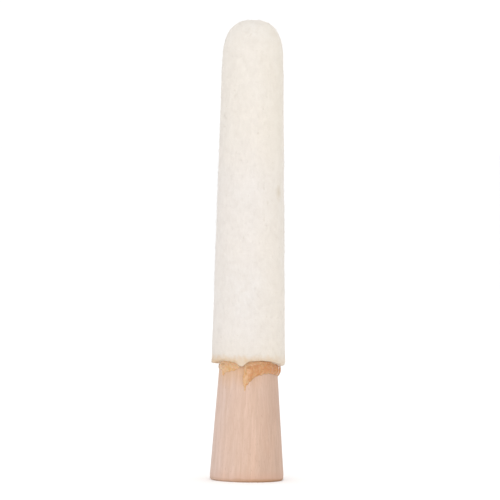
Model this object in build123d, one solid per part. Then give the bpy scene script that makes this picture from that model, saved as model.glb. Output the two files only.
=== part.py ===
from build123d import *

import os
from math import acos, atan2, cos, degrees, radians, sin

# Felt blending stump: a soft felt finger glued over a turned wooden peg.
# Millimetres. +Z runs up the stump's axis, and the origin is the middle of the flat foot.
#
# The peg is one turned piece. Its lower end is the bare grip, which is widest at the foot,
# and the taper carries on inside the felt as the core. The felt is a solid pressed finger
# with a blind tapered bore. Glue fills the gap between core and bore, and the surplus has
# run out under the felt's mouth and set on the neck as a bead with runs.

# Driving dimensions
overall_length = 95.0
grip_length = 24.6          # bare wood, from the foot up to the felt's mouth
foot_diameter = 15.2
foot_land = 1.3             # straight band above the foot
foot_chamfer = 0.3
neck_diameter = 11.8        # wood at the felt's mouth
core_length = 46.0          # wood inside the felt, measured up from the mouth
core_tip_diameter = 5.0
core_chamfer = 0.6

mouth_diameter = 15.2       # felt at its open end
mouth_rounding = 0.25       # worn outer edge of the mouth
crown_radius = 13.8         # nearly flat middle of the tip
crown_sweep = 5.7           # degrees
shoulder_radius = 4.8
shoulder_sweep = 60.5       # degrees
cheek_radius = 11.7         # eases the shoulder into the straight side

glue_gap = 0.15             # glue all round the core
glue_pool = 1.2             # glue between the core's tip and the blind end of the bore

bead_cover = 0.56           # share of the felt's end face that the bead covers
bead_height = 0.5           # unbroken ring of glue, down from the mouth
bead_blend = 1.4            # height over which the bead thins to the thickness of a run
run_thickness = 0.38

# Runs of glue down the neck: bearing from +X in degrees, width, and length from the mouth.
glue_runs = [
    (-147, 1.3, 3.1),
    (-128, 3.2, 1.9),
    (-94, 1.4, 5.7),
    (-84, 1.9, 3.9),
    (-69, 2.8, 3.2),
    (-47, 3.8, 2.7),
    (-15, 3.4, 2.6),
    (21, 1.5, 1.8),
    (47, 3.0, 2.4),
    (78, 1.5, 4.2),
    (101, 3.6, 2.9),
    (136, 1.6, 2.2),
    (171, 2.9, 2.5),
]

# Worked out from the driving dimensions
mouth_z = grip_length
core_tip_z = mouth_z + core_length
bore_top_z = core_tip_z + glue_pool
foot_r = foot_diameter / 2
neck_r = neck_diameter / 2
core_tip_r = core_tip_diameter / 2
mouth_r = mouth_diameter / 2
bead_r = neck_r + bead_cover * (mouth_r - neck_r)
longest_run = max(length for bearing, width, length in glue_runs)


def grip_radius(z):
    """Radius of the bare wood's taper at a height between the foot's land and the mouth."""
    return neck_r + (foot_r - neck_r) * (mouth_z - z) / (mouth_z - foot_land)


def core_radius(z):
    """Radius of the wood inside the felt at a height."""
    return neck_r - (neck_r - core_tip_r) * (z - mouth_z) / core_length


def turned(outline):
    """Solid turned about Z from a closed outline drawn with radius across and height up."""
    return revolve(Plane.XZ * make_face(outline), Axis.Z)


def wooden_peg():
    """Grip and core, turned in one piece."""
    return turned(Polyline(
        (0, 0),
        (foot_r - foot_chamfer, 0),
        (foot_r, foot_chamfer),
        (foot_r, foot_land),
        (neck_r, mouth_z),
        (core_radius(core_tip_z - core_chamfer), core_tip_z - core_chamfer),
        (core_tip_r - core_chamfer, core_tip_z),
        (0, core_tip_z),
        close=True,
    ))


def felt_outline():
    """The finger's outer outline: crown, shoulder and cheek arcs, then the side to the mouth."""
    crown = JernArc((0, overall_length), (1, 0), crown_radius, -crown_sweep)
    shoulder = JernArc(crown @ 1, crown % 1, shoulder_radius, -shoulder_sweep)
    heading = shoulder % 1
    cheek_centre = shoulder @ 1 + Vector(heading.Y, -heading.X) * cheek_radius
    to_mouth = Vector(mouth_r, mouth_z) - cheek_centre
    side_bearing = atan2(to_mouth.Y, to_mouth.X) + acos(cheek_radius / to_mouth.length)
    cheek_sweep = 90 - degrees(side_bearing) - crown_sweep - shoulder_sweep
    cheek = JernArc(shoulder @ 1, heading, cheek_radius, -cheek_sweep)
    return crown + shoulder + cheek + Polyline(
        cheek @ 1, (mouth_r, mouth_z), (0, mouth_z), (0, overall_length)
    )


def bore():
    """The blind tapered hole in the felt, which the core and the glue fill."""
    return turned(Polyline(
        (0, mouth_z),
        (neck_r + glue_gap, mouth_z),
        (core_tip_r + glue_gap, bore_top_z),
        (0, bore_top_z),
        close=True,
    ))


def felt_finger():
    """The pressed felt, bored and with its mouth's outer edge worn round."""
    finger = turned(felt_outline())
    rim = finger.edges().filter_by(GeomType.CIRCLE).group_by(Axis.Z)[0]
    return fillet(rim, mouth_rounding) - bore()


def glue_film():
    """The glue inside the joint: the bore's space less the wood."""
    return bore() - wooden_peg()


def glue_curtain():
    """A collar of glue all round the neck, from which the stencil keeps the bead and runs."""
    blend_z = mouth_z - bead_blend
    low_z = mouth_z - longest_run - run_thickness
    hollow = SagittaArc(
        (bead_r, mouth_z),
        (grip_radius(blend_z) + run_thickness, blend_z),
        -bead_blend / 8,
    )
    return turned(hollow + Polyline(
        hollow @ 1,
        (grip_radius(low_z) + run_thickness, low_z),
        (grip_radius(low_z), low_z),
        (neck_r, mouth_z),
        hollow @ 0,
    ))


def run_stencil(bearing, width, length):
    """A round-ended tongue that hangs from the mouth's level and reaches out from the axis."""
    out = Vector(cos(radians(bearing)), sin(radians(bearing)))
    across = Vector(-out.Y, out.X)
    face = Plane(origin=(0, 0, mouth_z), x_dir=across, z_dir=out)
    straight = length - width / 2
    tongue = Pos(0, -straight / 2) * Rectangle(width, straight)
    tongue += Pos(0, -straight) * Circle(width / 2)
    return extrude(face * tongue, foot_r)


def glue_bead():
    """The surplus glue that set outside the joint: a ring under the mouth and its runs."""
    stencil = Pos(0, 0, mouth_z - bead_height / 2) * Cylinder(mouth_r, bead_height)
    for run in glue_runs:
        stencil += run_stencil(*run)
    return glue_curtain() & stencil


nodes = {
    "wooden_peg": wooden_peg,
    "felt_finger": felt_finger,
    "glue_film": glue_film,
    "glue_bead": glue_bead,
}

os.makedirs("parts", exist_ok=True)
for name, make in nodes.items():
    export_step(make(), f"parts/{name}.step")
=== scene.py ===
import bmesh
import bpy
import math
import random
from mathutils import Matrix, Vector


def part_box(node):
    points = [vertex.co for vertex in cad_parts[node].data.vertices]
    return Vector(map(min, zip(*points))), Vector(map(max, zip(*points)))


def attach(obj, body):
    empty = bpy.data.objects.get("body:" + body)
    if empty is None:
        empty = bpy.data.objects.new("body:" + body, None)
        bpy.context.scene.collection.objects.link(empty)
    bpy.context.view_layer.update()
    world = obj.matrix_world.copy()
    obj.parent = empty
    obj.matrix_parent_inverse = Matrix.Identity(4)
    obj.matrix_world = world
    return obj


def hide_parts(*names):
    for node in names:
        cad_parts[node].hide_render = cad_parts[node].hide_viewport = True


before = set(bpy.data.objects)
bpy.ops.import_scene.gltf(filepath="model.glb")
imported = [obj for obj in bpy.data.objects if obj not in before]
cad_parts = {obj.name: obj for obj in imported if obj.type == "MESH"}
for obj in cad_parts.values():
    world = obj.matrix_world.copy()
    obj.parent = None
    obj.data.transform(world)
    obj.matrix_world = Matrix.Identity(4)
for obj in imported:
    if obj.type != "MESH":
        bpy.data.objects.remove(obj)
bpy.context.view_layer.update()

# A felt blending stump: a pressed felt finger glued over a turned wooden peg, stood on its foot.
# Metres and degrees. +Z runs up the stump, and a bearing is measured round Z from +X, so that
# -90 is the front and 0 is the right. Details of the glue and the felt are placed down or up
# from the felt's mouth.
MM = 0.001

# Places and sizes taken from the frame
felt_low, felt_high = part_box("felt_finger")
peg_low, peg_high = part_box("wooden_peg")
_, film_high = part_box("glue_film")
foot_z = peg_low.z
mouth_z = felt_low.z
tip_z = felt_high.z
bore_top_z = film_high.z
foot_r = peg_high.x
bore_r = film_high.x

# Sizes that the frame's boxes don't give
glue_gap = 0.15 * MM          # between the wood and the felt's bore
foot_land = 1.3 * MM          # straight band above the foot
mouth_r = 7.6 * MM
core_tip_r = 2.5 * MM
neck_r = bore_r - glue_gap
grip_slope = (foot_r - neck_r) / (mouth_z - foot_land)


# ---------------------------------------------------------------- working with meshes

def begin():
    """Leaves edit mode and deselects everything, so that the next operator acts on its own piece."""
    if bpy.context.mode != "OBJECT":
        bpy.ops.object.mode_set(mode="OBJECT")
    bpy.ops.object.select_all(action="DESELECT")


def work_on(piece):
    """Makes a piece the only one that is selected."""
    begin()
    piece.select_set(True)
    bpy.context.view_layer.objects.active = piece


def settle(piece):
    """Applies the piece's place, so that its object is at the origin and its place is in its mesh."""
    work_on(piece)
    bpy.ops.object.transform_apply(location=True, rotation=True, scale=True)


def add_modifier(piece, kind, **settings):
    """Adds a modifier with these settings and applies it."""
    work_on(piece)
    bpy.ops.object.modifier_add(type=kind)
    modifier = piece.modifiers[-1]
    for setting, value in settings.items():
        setattr(modifier, setting, value)
    bpy.ops.object.modifier_apply(modifier=modifier.name)


def select_points(piece, test):
    """Selects the points of the piece in edit mode whose place passes the test."""
    edit = bmesh.from_edit_mesh(piece.data)
    for point in edit.verts:
        point.select = test(point.co)
    edit.select_flush(True)
    bmesh.update_edit_mesh(piece.data)


def cloud(name, size, depth):
    """A soft procedural texture whose lumps are about that size, for the Displace modifier."""
    texture = bpy.data.textures.new(name, "CLOUDS")
    texture.noise_scale = size
    texture.noise_depth = depth
    return texture


def roughen(piece, name, size, height, depth=2, direction="NORMAL", group=""):
    """Raises and sinks the surface in lumps of a size, by up to half the height each way."""
    add_modifier(piece, "DISPLACE", texture=cloud(name, size, depth), texture_coords="LOCAL",
                 strength=height, mid_level=0.5, direction=direction, vertex_group=group)


def on_axis(bearing, radius, z):
    """The point at a bearing and radius round the stump's axis, at a height."""
    turn = math.radians(bearing)
    return Vector((radius * math.cos(turn), radius * math.sin(turn), z))


def bend(outline, heading, radius, sweep, steps):
    """Carries an outline of (radius, height) points round an arc to the right. Gives the new heading."""
    turn = math.radians(sweep) / steps
    chord = 2 * radius * math.sin(abs(turn) / 2)
    for _ in range(steps):
        heading -= turn / 2
        r, z = outline[-1]
        outline.append((r + chord * math.cos(heading), z + chord * math.sin(heading)))
        heading -= turn / 2
    return heading


def straight(outline, end, steps):
    """Carries an outline in a straight line to a point, in equal steps."""
    r, z = outline[-1]
    for step in range(1, steps + 1):
        share = step / steps
        outline.append((r + (end[0] - r) * share, z + (end[1] - z) * share))


def sort_by_points(piece):
    """Puts edges and faces in the order of their points. Extruding leaves them in an order that
    changes from run to run, and the loose fibres are drawn face by face."""
    count = len(piece.data.vertices)

    def first_and_last(part):
        numbers = [point.index for point in part.verts]
        return min(numbers) * count + max(numbers)

    shape = bmesh.new()
    shape.from_mesh(piece.data)
    shape.edges.sort(key=first_and_last)
    shape.faces.sort(key=first_and_last)
    shape.to_mesh(piece.data)
    shape.free()


def ring_shell(name, outline, segments):
    """A closed shell of rings that follow an outline of (radius, height) points, extruded one by one."""
    begin()
    radius, height = outline[0]
    bpy.ops.mesh.primitive_circle_add(vertices=segments, radius=radius, fill_type="NGON",
                                      location=(0, 0, height))
    shell = bpy.context.object
    shell.name = name
    settle(shell)
    bpy.ops.object.mode_set(mode="EDIT")
    bpy.ops.mesh.select_mode(type="EDGE")
    bpy.ops.mesh.select_all(action="SELECT")
    for next_radius, next_height in outline[1:]:
        bpy.ops.mesh.extrude_edges_move(
            TRANSFORM_OT_translate={"value": (0, 0, next_height - height)})
        grow = next_radius / radius
        bpy.ops.transform.resize(value=(grow, grow, 1), center_override=(0, 0, 0))
        radius, height = next_radius, next_height
    bpy.ops.mesh.edge_face_add()
    bpy.ops.mesh.select_all(action="SELECT")
    bpy.ops.mesh.normals_make_consistent(inside=False)
    bpy.ops.mesh.select_mode(type="VERT")
    begin()
    sort_by_points(shell)
    return shell


# ---------------------------------------------------------------- the felt finger

felt_segments = 64
felt_side_rings = 62

# The tip, as arcs from the middle of the crown down to the straight side
tip_start_r = 0.35 * MM       # the shell starts with a small flat ring
crown_radius = 13.8 * MM
crown_sweep = 5.7
shoulder_radius = 4.8 * MM
shoulder_sweep = 60.5
cheek_radius = 11.7 * MM

mouth_rounding = 0.28 * MM
bore_edge = 0.1 * MM          # slight bevel where the bore opens and where it ends
bore_end_round = 0.2 * MM

# Where the mouth's edge hangs lower or, with a drop below 0, sits higher: bearing, drop and reach
mouth_pulls = [
    (-172, 0.50 * MM, 3.2 * MM),
    (-133, -0.24 * MM, 2.4 * MM),
    (-101, 0.98 * MM, 1.2 * MM),
    (-70, -0.36 * MM, 3.8 * MM),
    (-14, 0.80 * MM, 3.9 * MM),
    (62, -0.22 * MM, 3.5 * MM),
    (120, 0.24 * MM, 4.0 * MM),
]
pull_grip = 0.9 * MM          # at most this much of the edge is held by a pull
mouth_waves_reach = 1.6 * MM  # the mouth's small waves die out this far up


def felt_outline():
    """From the tip's middle over the crown, down the side, across the mouth and up the blind bore."""
    outline = [(0, tip_z)]
    heading = bend(outline, 0, crown_radius, crown_sweep, steps=2)
    outline[0] = (tip_start_r, tip_z)
    heading = bend(outline, heading, shoulder_radius, shoulder_sweep, steps=6)

    # The cheek's arc turns until it points at the mouth's edge
    r, z = outline[-1]
    centre = (r + cheek_radius * math.sin(heading), z - cheek_radius * math.cos(heading))
    to_mouth = (mouth_r - centre[0], mouth_z - centre[1])
    side_bearing = math.atan2(to_mouth[1], to_mouth[0]) + math.acos(cheek_radius / math.hypot(*to_mouth))
    cheek_sweep = 90 + math.degrees(heading - side_bearing)
    heading = bend(outline, heading, cheek_radius, cheek_sweep, steps=6)

    lean = mouth_rounding * math.cos(heading)
    straight(outline, (mouth_r - lean, mouth_z + mouth_rounding), felt_side_rings)
    bend(outline, heading, mouth_rounding, 90, steps=3)
    straight(outline, (bore_r + bore_edge, outline[-1][1]), steps=3)
    outline.append((bore_r, mouth_z + bore_edge))
    straight(outline, (core_tip_r + glue_gap, bore_top_z - bore_edge), steps=5)
    outline.append((core_tip_r - bore_end_round, bore_top_z))
    outline.append((tip_start_r, bore_top_z))
    return outline


def pull_mouth(felt):
    """Pulls the mouth's edge down or up in the places that mouth_pulls gives."""
    work_on(felt)
    bpy.ops.object.mode_set(mode="EDIT")
    for bearing, drop, reach in mouth_pulls:
        spot = on_axis(bearing, mouth_r, mouth_z)
        held = min(pull_grip, reach / 2)
        select_points(felt, lambda place: (place - spot).length < held)
        bpy.ops.transform.translate(value=(0, 0, -drop), use_proportional_edit=True,
                                    proportional_edit_falloff="SMOOTH", proportional_size=reach)
    begin()


def mark_mouth(felt):
    """Adds a vertex group that is full at the mouth's edge and fades out above it."""
    mouth = felt.vertex_groups.new(name="mouth")
    for point in felt.data.vertices:
        near = 1 - (point.co.z - mouth_z) / mouth_waves_reach
        if near > 0:
            mouth.add([point.index], min(1, near), "REPLACE")


def make_felt():
    """The pressed felt finger, with its blind bore, its uneven mouth and its lumpy surface."""
    felt = ring_shell("pressed_felt", felt_outline(), felt_segments)
    pull_mouth(felt)
    add_modifier(felt, "SUBSURF", levels=2, render_levels=2)
    mark_mouth(felt)
    roughen(felt, "felt swells", size=9 * MM, height=0.16 * MM, depth=1)
    roughen(felt, "felt lumps", size=2.2 * MM, height=0.09 * MM)
    roughen(felt, "felt grain", size=0.7 * MM, height=0.07 * MM)
    roughen(felt, "mouth waves", size=1.3 * MM, height=0.35 * MM, direction="Z", group="mouth")
    work_on(felt)
    bpy.ops.object.shade_smooth()
    return felt


# ---------------------------------------------------------------- loose fibres

fibre_count = 3200
fibre_thickness = 0.024 * MM
fibre_tip = 0.4               # share of the thickness that is left at the tip
fibre_root_depth = 0.05 * MM  # how far inside the felt a fibre starts
fibre_lengths = (0.25, 0.95, 0.4)     # shortest, longest and most usual, in millimetres
fibre_lifts = (0.15, 0.55)            # how far one stands off the felt, as a share of its length
fibre_curl = 0.5                      # how far one may curl aside, as a share of its length
fibre_arches = (0.35, 0.75)           # how much of a full arch one makes

# A few longer fibres hang from the mouth's edge, over the gap in the glue
tuft_count = 110
tuft_bearing = -101
tuft_scatter = 4.5                    # degrees
tuft_lengths = (0.3, 0.95, 0.5)       # as for the fibres
tuft_root_radii = (6.5, 7.5)          # millimetres from the stump's axis
tuft_root_rise = 0.1 * MM             # above the mouth
tuft_bow = 0.4                        # most that one leans inwards, in millimetres
tuft_spread = 0.35                    # most that one bends aside, in millimetres

# Fibres grow only where the felt is this far outside the bore, or this far above its end
clear_of_bore = 0.3 * MM
clear_of_bore_end = 3 * MM
merge_distance = 0.0001 * MM


def fibre_path(root, normal, length, lift, draw):
    """Five places along one wool fibre that leaves the felt, leans over and curls."""
    heading = Vector((draw.uniform(-1, 1), draw.uniform(-1, 1), draw.uniform(-1, 1)))
    along = normal.cross(heading).normalized()
    aside = normal.cross(along) * draw.uniform(-fibre_curl, fibre_curl)
    path = [root - normal * fibre_root_depth]
    for share in (0.25, 0.5, 0.75, 1):
        rise = lift * math.sin(share * math.pi * draw.uniform(*fibre_arches))
        path.append(root + length * (along * share + aside * share ** 2 + normal * rise))
    return path


def fibres_on(felt):
    """Draws which faces of the felt carry a loose fibre, and gives the path of each."""
    draw = random.Random(7)
    outer_r = bore_r + clear_of_bore
    top_z = bore_top_z + clear_of_bore_end
    outside = [face for face in felt.data.polygons
               if face.center.xy.length > outer_r or face.center.z > top_z]
    paths = []
    for face in draw.choices(outside, weights=[face.area for face in outside], k=fibre_count):
        corner = felt.data.vertices[draw.choice(face.vertices)].co
        root = face.center.lerp(corner, draw.random())
        length = draw.triangular(*fibre_lengths) * MM
        paths.append(fibre_path(root, face.normal, length, draw.uniform(*fibre_lifts), draw))
    return paths


def tuft():
    """The paths of the longer fibres, which hang down, lean inwards and spread a little."""
    draw = random.Random(11)
    paths = []
    for _ in range(tuft_count):
        bearing = tuft_bearing + draw.gauss(0, tuft_scatter)
        root = on_axis(bearing, draw.uniform(*tuft_root_radii) * MM, mouth_z + tuft_root_rise)
        length = draw.triangular(*tuft_lengths) * MM
        inward = on_axis(bearing, -draw.uniform(0.0, tuft_bow) * MM, 0)
        aside = on_axis(bearing + 90, draw.uniform(-tuft_spread, tuft_spread) * MM, 0)
        path = []
        for share in (0, 0.3, 0.6, 0.85, 1):
            path.append(root + share * inward + share ** 2 * aside - Vector((0, 0, share * length)))
        paths.append(path)
    return paths


def make_fuzz(felt):
    """The loose fibres, drawn as one curve with a fine square section and made a mesh."""
    strands = bpy.data.curves.new("felt_fuzz", "CURVE")
    strands.dimensions = "3D"
    strands.bevel_depth = fibre_thickness / 2
    strands.bevel_resolution = 0
    strands.resolution_u = 1
    strands.use_fill_caps = True
    for path in fibres_on(felt) + tuft():
        strand = strands.splines.new("POLY")
        strand.points.add(len(path) - 1)
        for point, place in zip(strand.points, path):
            point.co = (*place, 1)
        strand.points[-1].radius = fibre_tip
    fuzz = bpy.data.objects.new("felt_fuzz", strands)
    bpy.context.scene.collection.objects.link(fuzz)
    work_on(fuzz)
    bpy.ops.object.convert(target="MESH")
    bpy.ops.object.mode_set(mode="EDIT")
    bpy.ops.mesh.select_all(action="SELECT")
    bpy.ops.mesh.remove_doubles(threshold=merge_distance)
    work_on(fuzz)
    bpy.ops.object.shade_smooth()
    return fuzz


# ---------------------------------------------------------------- the set glue

# Runs of glue: bearing, then width, length down from the mouth and stand off the wood in millimetres
glue_runs = [
    (-166, 1.8, 0.8, 0.20),
    (-155, 1.9, 1.8, 0.34),
    (-147, 1.2, 3.1, 0.36),
    (-139, 2.0, 2.3, 0.38),
    (-130, 2.0, 2.2, 0.38),
    (-121, 1.9, 1.95, 0.34),
    (-113, 1.5, 1.4, 0.26),
    (-96, 0.75, 6.1, 0.36),
    (-92, 0.9, 4.9, 0.42),
    (-87, 1.4, 4.0, 0.46),
    (-82, 1.9, 3.4, 0.50),
    (-74, 2.2, 3.05, 0.54),
    (-65, 2.4, 2.75, 0.56),
    (-54, 2.5, 2.5, 0.60),
    (-43, 2.5, 2.35, 0.62),
    (-32, 2.4, 2.6, 0.62),
    (-20, 2.4, 2.9, 0.70),
    (-6, 2.2, 3.0, 0.84),
    (6, 2.1, 2.5, 0.74),
    (20, 1.5, 1.7, 0.42),
    (47, 3.0, 2.4, 0.50),
    (62, 2.2, 1.3, 0.40),
    (78, 1.4, 4.2, 0.46),
    (88, 2.4, 2.0, 0.44),
    (101, 3.4, 2.9, 0.50),
    (118, 2.0, 1.2, 0.36),
    (136, 1.5, 2.2, 0.42),
    (152, 2.2, 1.2, 0.36),
    (171, 2.4, 1.8, 0.24),
    (183, 2.0, 0.9, 0.20),
]
glue_overlap = 0.35 * MM      # how far the runs reach up into the felt's mouth

# The unbroken ring under the mouth: how far its middle stands off the neck, its section and its rise
ring_stand = 0.25 * MM
ring_section_r = 0.42 * MM
ring_rise = 0.08 * MM

glue_voxel = 0.12 * MM        # how fine the glue is melted together
glue_edge_angle = 50          # the glue's edges that are sharper than this stay sharp
wood_bite = 0.02 * MM         # the glue reaches this far into the wood, so that no gap shows
cut_below_mouth = 9 * MM
cut_above_mouth = 2 * MM


def wood_radius(z):
    """Radius of the grip's taper at a height."""
    return neck_r + grip_slope * (mouth_z - z)


def add_run(bearing, width, length, stand):
    """One run of glue: a drop stretched down the neck, leaning with the wood's taper."""
    half = (length + glue_overlap) / 2
    z = mouth_z + glue_overlap - half
    bpy.ops.mesh.primitive_uv_sphere_add(
        segments=20, ring_count=14, radius=1, location=on_axis(bearing, wood_radius(z), z),
        rotation=(0, -math.atan(grip_slope), math.radians(bearing)), scale=(stand, width / 2, half))
    return bpy.context.object


def cut_to_neck(glue):
    """Cuts the glue hollow with a cone that follows the wood."""
    low = mouth_z - cut_below_mouth
    high = mouth_z + cut_above_mouth
    bpy.ops.mesh.primitive_cone_add(
        vertices=128, radius1=wood_radius(low) - wood_bite, radius2=wood_radius(high) - wood_bite,
        depth=high - low, location=(0, 0, (low + high) / 2))
    neck = bpy.context.object
    add_modifier(glue, "BOOLEAN", operation="DIFFERENCE", object=neck, solver="MANIFOLD")
    bpy.data.objects.remove(neck)


def make_glue():
    """The glue that was squeezed out: a ring under the felt and its runs, melted into one piece."""
    begin()
    bpy.ops.mesh.primitive_torus_add(
        major_radius=neck_r + ring_stand, minor_radius=ring_section_r, major_segments=96,
        minor_segments=12, location=(0, 0, mouth_z + ring_rise))
    glue = bpy.context.object
    glue.name = "set_glue"
    parts = [glue]
    for bearing, width, length, stand in glue_runs:
        parts.append(add_run(bearing, width * MM, length * MM, stand * MM))
    begin()
    for part in parts:
        part.select_set(True)
    bpy.context.view_layer.objects.active = glue
    bpy.ops.object.join()
    settle(glue)
    add_modifier(glue, "REMESH", mode="VOXEL", voxel_size=glue_voxel)
    add_modifier(glue, "SMOOTH", factor=0.5, iterations=4)
    roughen(glue, "glue swells", size=1.3 * MM, height=0.32 * MM, depth=1)
    roughen(glue, "glue ripples", size=0.5 * MM, height=0.14 * MM, depth=1)
    cut_to_neck(glue)
    work_on(glue)
    bpy.ops.object.shade_smooth_by_angle(angle=math.radians(glue_edge_angle))
    return glue


# ---------------------------------------------------------------- working with materials

def colour(red, green, blue):
    """A colour, or a tint, which other colours are multiplied by."""
    return (red, green, blue, 1)


class Finish:
    """A material with a Principled shader. Its methods add nodes: outputs are linked, values are set."""

    def __init__(self, name):
        self.material = bpy.data.materials.new(name)
        self.material.use_nodes = True
        self.tree = self.material.node_tree
        self.shader = self.tree.nodes["Principled BSDF"]
        self.place = self.add("ShaderNodeTexCoord", {}).outputs["Object"]

    def add(self, kind, sockets, **settings):
        """Adds a node with these settings and gives its input sockets their values or outputs."""
        made = self.tree.nodes.new(kind)
        for setting, value in settings.items():
            setattr(made, setting, value)
        for socket, value in sockets.items():
            self.give(made.inputs[socket], value)
        return made

    def give(self, socket, value):
        """Links an output to the socket, or sets its value."""
        if isinstance(value, bpy.types.NodeSocket):
            self.tree.links.new(value, socket)
        else:
            socket.default_value = value

    def set(self, **sockets):
        """Gives the shader's sockets values or outputs, named with underscores for spaces."""
        for socket, value in sockets.items():
            self.give(self.shader.inputs[socket.replace("_", " ")], value)

    def axis(self, name):
        """One of the coordinates X, Y and Z of the place on the piece."""
        return self.add("ShaderNodeSeparateXYZ", {0: self.place}).outputs[name]

    def stretched(self, scale, shift=(0, 0, 0)):
        """The object's coordinates, moved and then scaled along each axis."""
        moved = self.add("ShaderNodeMapping", {"Vector": self.place, "Location": shift}).outputs[0]
        return self.add("ShaderNodeVectorMath", {0: moved, 1: scale}, operation="MULTIPLY").outputs[0]

    def noise(self, size, detail=2.0, roughness=0.5, distortion=0.0, where=None):
        """Noise whose features are about a size across."""
        return self.add("ShaderNodeTexNoise", {
            "Vector": where or self.place, "Scale": 1 / size, "Detail": detail,
            "Roughness": roughness, "Distortion": distortion}).outputs[0]

    def math(self, operation, a, b=0.0):
        """One step of arithmetic on two numbers, or on the first alone."""
        return self.add("ShaderNodeMath", {0: a, 1: b}, operation=operation).outputs[0]

    def plus(self, a, b):
        """The sum of two numbers."""
        return self.math("ADD", a, b)

    def minus(self, a, b):
        """The first number less the second."""
        return self.math("SUBTRACT", a, b)

    def times(self, a, b):
        """The product of two numbers."""
        return self.math("MULTIPLY", a, b)

    def length(self, vector):
        """The length of a vector."""
        return self.add("ShaderNodeVectorMath", {0: vector}, operation="LENGTH").outputs["Value"]

    def distance_to(self, spot):
        """The distance of the place on the piece from a spot."""
        made = self.add("ShaderNodeVectorMath", {0: self.place, 1: spot}, operation="DISTANCE")
        return made.outputs["Value"]

    def spread(self, value, low, high, to_low=0.0, to_high=1.0):
        """Maps a range of a value to another range and holds it there."""
        made = self.add("ShaderNodeMapRange", {
            "Value": value, "From Min": low, "From Max": high, "To Min": to_low, "To Max": to_high})
        return made.outputs[0]

    def mix(self, share, a, b, blend="MIX"):
        """Mixes two colours. They are the Mix node's inputs 6 and 7, and the result is its output 2."""
        made = self.add("ShaderNodeMix", {0: share, 6: a, 7: b}, data_type="RGBA", blend_type=blend)
        return made.outputs[2]

    def tint(self, share, base, tint):
        """Multiplies a colour by a tint, by a share from 0 to 1."""
        return self.mix(share, base, tint, "MULTIPLY")

    def bump(self, height, distance, strength):
        """Bump on top of what the finish has."""
        made = self.add("ShaderNodeBump", {"Height": height, "Distance": distance, "Strength": strength})
        normal = self.shader.inputs["Normal"]
        if normal.is_linked:
            self.tree.links.new(normal.links[0].from_socket, made.inputs["Normal"])
        self.tree.links.new(made.outputs[0], normal)

    def put_on(self, piece):
        """Gives the piece this material alone."""
        piece.data.materials.clear()
        piece.data.materials.append(self.material)


# ---------------------------------------------------------------- the felt's finish

wool_white = colour(0.700, 0.664, 0.633)
wool_cream = colour(0.706, 0.657, 0.611)
wool_mottle = colour(0.671, 0.626, 0.585)
wool_speck = colour(0.54, 0.48, 0.41)
# The colour below is painted shade for the grooves between the strands
wool_groove_shade = colour(0.60, 0.545, 0.49)
wool_fleck = colour(0.52, 0.43, 0.31)
wool_soaked = colour(0.56, 0.36, 0.17)

# Tints of the felt
# The yellower tint is painted warm shade on the felt's right side
yellower = colour(1.031, 1.019, 0.980)
creamier = colour(1.008, 1.006, 0.982)
handled = colour(0.974, 0.956, 0.920)

# The one tan fleck, high on the right of the front
fleck_place = on_axis(-33, mouth_r - 0.75 * MM, mouth_z + 34.9 * MM)
fleck_width = 0.8 * MM
fleck_length = 1.9 * MM

# The middle of the tuft, where less glue soaked in
tuft_place = on_axis(tuft_bearing, mouth_r, mouth_z - 0.4 * MM)


def wool_colour(felt, grooves):
    """Off-white wool with broad changes, mottling, sparse specks and painted shade that darkens the grooves
    between strands.
    """
    broad = felt.noise(14 * MM)
    mottle = felt.noise(1.9 * MM, detail=3, roughness=0.6, distortion=0.6)
    specks = felt.noise(1.0 * MM, detail=1, distortion=0.5)
    base = felt.mix(felt.spread(broad, 0.35, 0.65), wool_white, wool_cream)
    base = felt.mix(felt.spread(mottle, 0.35, 0.68), base, wool_mottle)
    base = felt.mix(felt.spread(specks, 0.70, 0.80, 0.0, 0.35), base, wool_speck)
    # Painted shade: the grooves between strands are darkened
    return felt.mix(felt.times(grooves, 0.22), base, wool_groove_shade)


def age_and_shade_wool(felt, base):
    """Paints warm shade on the right side, making it a little yellower, turns the upper part creamier and the
    part above the mouth duller.
    """
    to_right = felt.spread(felt.axis("X"), 0.5 * MM, 5.5 * MM)
    to_top = felt.spread(felt.axis("Z"), mouth_z + 38 * MM, mouth_z + 48 * MM)
    near_mouth = felt.spread(felt.axis("Z"), mouth_z + 0.5 * MM, mouth_z + 6 * MM, 0.85, 0.0)
    # Painted warm shade: the right side is tinted yellower
    base = felt.tint(to_right, base, yellower)
    base = felt.tint(to_top, base, creamier)
    return felt.tint(near_mouth, base, handled)


def soak_mouth(felt, base):
    """Stains the mouth's edge with glue, unevenly, and least on the right and in the tuft."""
    above_mouth = felt.minus(felt.axis("Z"), mouth_z)
    uneven = felt.spread(felt.noise(0.9 * MM, detail=3), 0.3, 0.7, -0.3 * MM, 0.4 * MM)
    soak = felt.spread(felt.plus(above_mouth, uneven), 0.0, 1.7 * MM, 1.0, 0.0)
    less_right = felt.spread(felt.axis("X"), 3 * MM, 6.5 * MM, 0.75, 0.3)
    less_in_tuft = felt.spread(felt.distance_to(tuft_place), 0.7 * MM, 1.5 * MM, 0.60, 1.0)
    soaked = felt.times(felt.times(soak, less_right), less_in_tuft)
    return felt.mix(soaked, base, wool_soaked)


def add_fleck(felt, base):
    """The tan fleck: a ragged spot that is taller than it is wide."""
    narrower = (1 / fleck_width, 1 / fleck_width, 1 / fleck_length)
    from_fleck = felt.length(felt.stretched(narrower, shift=-fleck_place))
    ragged = felt.plus(from_fleck, felt.times(felt.noise(0.5 * MM, detail=3), 1.2))
    return felt.mix(felt.spread(ragged, 0.7, 1.8, 0.5, 0.0), base, wool_fleck)


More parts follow.
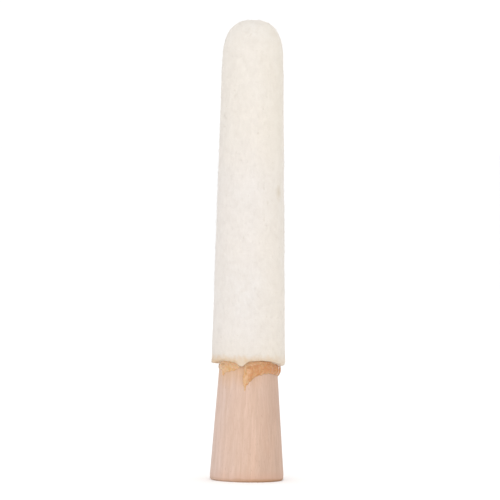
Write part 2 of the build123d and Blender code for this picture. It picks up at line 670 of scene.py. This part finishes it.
def felt_finish():
    """Pressed wool: matted strands in a warm off-white, handled and stained with glue at the mouth."""
    felt = Finish("pressed_wool")
    strands = felt.noise(0.55 * MM, detail=3, roughness=0.6, distortion=1.8)
    from_groove = felt.math("ABSOLUTE", felt.minus(strands, 0.5))
    matted = felt.spread(from_groove, 0.0, 0.09)
    fine = felt.noise(0.16 * MM, roughness=0.6, distortion=1.0)

    base = wool_colour(felt, grooves=felt.minus(1.0, matted))
    base = age_and_shade_wool(felt, base)
    base = soak_mouth(felt, base)
    base = add_fleck(felt, base)

    felt.set(Base_Color=base, Roughness=0.95, Specular_IOR_Level=0.2)
    felt.set(Sheen_Weight=0.25, Sheen_Roughness=0.5)
    felt.bump(matted, 0.03 * MM, 0.6)
    felt.bump(fine, 0.02 * MM, 0.5)
    return felt


# ---------------------------------------------------------------- the wood's finish

wood_pink = colour(0.590, 0.427, 0.350)
wood_tan = colour(0.612, 0.414, 0.312)
late_brown = colour(0.49, 0.325, 0.24)
streak_brown = colour(0.535, 0.372, 0.285)
pale_grain = colour(0.665, 0.49, 0.395)
pore_brown = colour(0.38, 0.25, 0.18)
# A darker, redder band above the foot, and painted shade for the foot's lowest edge
foot_band_brown = colour(0.54, 0.325, 0.235)
foot_shade_brown = colour(0.41, 0.235, 0.135)

# Tints of the wood
pinker = colour(1.029, 1.134, 1.278)
# The darker tint is painted shade on the wood's right side
darker = colour(0.82, 0.80, 0.79)
wetted = colour(1.011, 0.894, 0.700)

pith = Vector((-26, 21, 0)) * MM      # the tree's middle, far outside the peg
ring_spacing = 1.7 * MM


def growth_rings(wood, warp):
    """The dark late wood of each growth ring round the pith, warped a little along the grain."""
    from_pith = wood.length(wood.stretched((1, 1, 0), shift=-pith))
    ring_place = wood.plus(from_pith, wood.spread(warp, 0.25, 0.75, -0.9 * MM, 0.9 * MM))
    ring = wood.math("FRACT", wood.math("DIVIDE", ring_place, ring_spacing))
    return wood.times(wood.spread(ring, 0.25, 0.9), wood.spread(ring, 0.9, 1.0, 1.0, 0.0))


def wood_colour(wood, warp, fine_grain, pore_mark):
    """Pinkish close-grained wood: a faint blush, growth rings, streaks, fine grain and short pores."""
    blush = wood.noise(8 * MM, where=wood.stretched((1, 1, 0.35)))
    streaks = wood.noise(1.1 * MM, detail=3, roughness=0.6, distortion=0.2,
                         where=wood.stretched((1, 1, 0.06)))
    base = wood.mix(wood.spread(blush, 0.35, 0.65), wood_pink, wood_tan)
    base = wood.mix(wood.times(growth_rings(wood, warp), 0.50), base, late_brown)
    base = wood.mix(wood.spread(streaks, 0.38, 0.66, 0.0, 0.9), base, streak_brown)
    base = wood.mix(wood.spread(fine_grain, 0.45, 0.8, 0.0, 0.5), base, pale_grain)
    return wood.mix(wood.times(pore_mark, 0.45), base, pore_brown)


def tint_sides(wood, base):
    """Turns the wood greyer and pinker on the left, and darker on the right as painted shade."""
    to_left = wood.spread(wood.axis("X"), -7 * MM, -1.5 * MM, 0.55, 0.0)
    to_right = wood.spread(wood.axis("X"), 0.5 * MM, 5.5 * MM, 0.0, 0.55)
    base = wood.tint(to_left, base, pinker)
    # Painted shade: the right side is darkened
    return wood.tint(to_right, base, darker)


def shade_foot_edge(wood, base, warp):
    """Darkens and reddens a band above the foot, and paints shade on the foot's lowest edge, where its
    chamfer faces down; both most on the right.
    """
    uneven = wood.spread(warp, 0.3, 0.7, -0.15 * MM, 0.15 * MM)
    from_foot = wood.plus(wood.axis("Z"), uneven)
    more_right = wood.spread(wood.axis("X"), -5 * MM, 3.5 * MM, 0.4, 1.0)
    foot_band = wood.times(more_right, wood.spread(from_foot, 0.9 * MM, 2.4 * MM, 0.5, 0.0))
    # Painted shade: the lowest edge, where the chamfer faces down, is darkened
    foot_edge_shade = wood.times(more_right, wood.spread(from_foot, 0.4 * MM, 0.8 * MM, 0.9, 0.0))
    base = wood.mix(foot_band, base, foot_band_brown)
    return wood.mix(foot_edge_shade, base, foot_shade_brown)


def wet_neck(wood, base):
    """Stains the wood under the mouth with glue, in soft tongues that follow the grain."""
    tongues = wood.noise(1.5 * MM, where=wood.stretched((1, 1, 0.1)))
    reach = wood.spread(tongues, 0.3, 0.7, -0.9 * MM, 0.9 * MM)
    below_mouth = wood.minus(wood.minus(mouth_z, wood.axis("Z")), reach)
    stain = wood.spread(below_mouth, 1.4 * MM, 5.6 * MM, 0.9, 0.0)
    more_left = wood.spread(wood.axis("X"), 0.5 * MM, 3.0 * MM, 1.0, 0.25)
    return wood.tint(wood.times(stain, more_left), base, wetted)


def wood_finish():
    """Turned close-grained wood with faint turning marks, a darker band and painted shade at the foot, and
    stained at the neck.
    """
    wood = Finish("turned_wood")
    warp = wood.noise(5 * MM, where=wood.stretched((1, 1, 0.12)))
    fine_grain = wood.noise(0.3 * MM, roughness=0.6, distortion=0.2, where=wood.stretched((1, 1, 0.05)))
    pores = wood.noise(0.13 * MM, detail=1, where=wood.stretched((1, 1, 0.14)))
    pore_mark = wood.spread(pores, 0.63, 0.76)
    turning_marks = wood.noise(0.22 * MM, roughness=0.6, where=wood.stretched((0.04, 0.04, 1)))

    base = wood_colour(wood, warp, fine_grain, pore_mark)
    base = tint_sides(wood, base)
    base = shade_foot_edge(wood, base, warp)
    base = wet_neck(wood, base)

    wood.set(Base_Color=base, Roughness=0.62, Specular_IOR_Level=0.3)
    wood.bump(turning_marks, 0.02 * MM, 0.6)
    wood.bump(fine_grain, 0.02 * MM, 0.5)
    wood.bump(wood.minus(1.0, pore_mark), 0.02 * MM, 0.8)
    return wood


# ---------------------------------------------------------------- the glue's finish

thin_golden = colour(0.62, 0.39, 0.215)
thick_golden = colour(0.53, 0.285, 0.10)
thin_brown = colour(0.555, 0.320, 0.160)
middling_brown = colour(0.495, 0.228, 0.090)
thick_brown = colour(0.43, 0.180, 0.055)


def glue_depth(glue):
    """How deep the glue looks: 0 where thin and 1 where thick, with swirls, and less next to the felt, where
    the glue is made paler as painted light in the shaded recess under the mouth.
    """
    radius = glue.length(glue.stretched((1, 1, 0)))
    below_mouth = glue.minus(mouth_z, glue.axis("Z"))
    wood_here = glue.plus(glue.times(below_mouth, grip_slope), neck_r)
    thickness = glue.minus(radius, wood_here)
    depth = glue.spread(thickness, 0.05 * MM, 0.80 * MM)
    swirl = glue.noise(0.9 * MM, detail=3, roughness=0.6, distortion=0.8)
    depth = glue.plus(depth, glue.spread(swirl, 0.3, 0.7, -0.55, 0.55))
    far_right = glue.spread(glue.axis("X"), 4.0 * MM, 6.0 * MM, 0.0, 0.2)
    depth = glue.plus(depth, far_right)
    # Painted light: the glue in the shaded recess under the felt's mouth is made paler
    painted_light_under_felt = glue.spread(glue.axis("Z"), mouth_z - 1.2 * MM, mouth_z + 0.2 * MM, 0.0, -0.6)
    return glue.plus(depth, painted_light_under_felt)


def glue_finish():
    """Set glue: pale amber where thin and deeper where thick, golden on the left and brown on the right."""
    glue = Finish("set_amber_glue")
    depth = glue_depth(glue)
    golden = glue.mix(glue.spread(depth, 0.1, 1.0), thin_golden, thick_golden)
    brown = glue.mix(glue.spread(depth, 0.0, 0.6), thin_brown, middling_brown)
    brown = glue.mix(glue.spread(depth, 0.6, 1.3), brown, thick_brown)
    to_right = glue.spread(glue.axis("X"), -0.8 * MM, 0.5 * MM)
    base = glue.mix(to_right, golden, brown)
    glue.set(Base_Color=base, Roughness=0.13)
    glue.set(Subsurface_Weight=0.25, Subsurface_Scale=0.5 * MM, Subsurface_Radius=(1.0, 0.4, 0.15))
    glue.bump(glue.noise(0.5 * MM), 0.02 * MM, 0.4)
    return glue


# ---------------------------------------------------------------- the object

felt_material = felt_finish()
wood_material = wood_finish()
glue_material = glue_finish()

felt = make_felt()
felt_material.put_on(felt)
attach(felt, "root")
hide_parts("felt_finger")

fuzz = make_fuzz(felt)
felt_material.put_on(fuzz)
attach(fuzz, "root")

glue = make_glue()
glue_material.put_on(glue)
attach(glue, "root")
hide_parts("glue_bead")

wood_material.put_on(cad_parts["wooden_peg"])
glue_material.put_on(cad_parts["glue_film"])


# ---------------------------------------------------------------- floor, light and camera

floor_size = 60
world_strength = 1.06

# Area lights: name, place, size and power in watts
lights = [
    ("key", (-0.02, -0.90, 0.28), 0.6, 2.25),
    ("sparkle", (-0.20, -0.45, 0.26), 0.03, 0.10),
    ("back fill", (0.30, 0.85, 0.30), 0.6, 0.7),
]

camera_lens = 300             # focal length in millimetres
camera_sensor = 36            # width in millimetres
camera_fill = 0.92            # share of the frame's height that the stump fills
camera_elevation = 1.5
camera_roll = 0.85
camera_reach = 100            # nothing beyond this is drawn


def make_floor():
    """A plain pale floor under the foot."""
    begin()
    bpy.ops.mesh.primitive_plane_add(size=floor_size, location=(0, 0, foot_z))
    floor = bpy.context.object
    floor.name = "floor"
    finish = Finish("pale_floor")
    finish.set(Base_Color=colour(0.96, 0.96, 0.96), Roughness=0.9)
    finish.put_on(floor)


def make_world():
    """Even white light from all round."""
    world = bpy.data.worlds.new("pale_room")
    bpy.context.scene.world = world
    world.use_nodes = True
    background = world.node_tree.nodes["Background"]
    background.inputs["Color"].default_value = colour(1, 1, 1)
    background.inputs["Strength"].default_value = world_strength


def aim(thing, target, roll=0.0):
    """Turns a light or camera to look at a point, with a roll in degrees."""
    look = (target - thing.location).to_track_quat("-Z", "Y").to_euler()
    look.rotate_axis("Z", math.radians(roll))
    thing.rotation_euler = look


def make_light(name, place, size, energy, target):
    """A square area light that faces a point."""
    begin()
    bpy.ops.object.light_add(type="AREA", location=place)
    light = bpy.context.object
    light.name = name
    light.data.size = size
    light.data.energy = energy
    aim(light, target)


def make_camera(target, length):
    """A nearly level camera far off with a long lens, so that the stump fills most of the frame's height."""
    distance = length / camera_fill / (camera_sensor / camera_lens)
    elevation = math.radians(camera_elevation)
    away = distance * Vector((0, -math.cos(elevation), math.sin(elevation)))
    bpy.ops.object.camera_add(location=target + away)
    camera = bpy.context.object
    camera.data.lens = camera_lens
    camera.data.sensor_width = camera_sensor
    camera.data.clip_end = camera_reach
    aim(camera, target, camera_roll)
    bpy.context.scene.camera = camera


middle = Vector((0, 0, (foot_z + tip_z) / 2))
make_floor()
make_world()
for name, place, size, energy in lights:
    make_light(name, place, size, energy, middle)
make_camera(middle, tip_z - foot_z)
bpy.context.scene.view_settings.view_transform = "Standard"
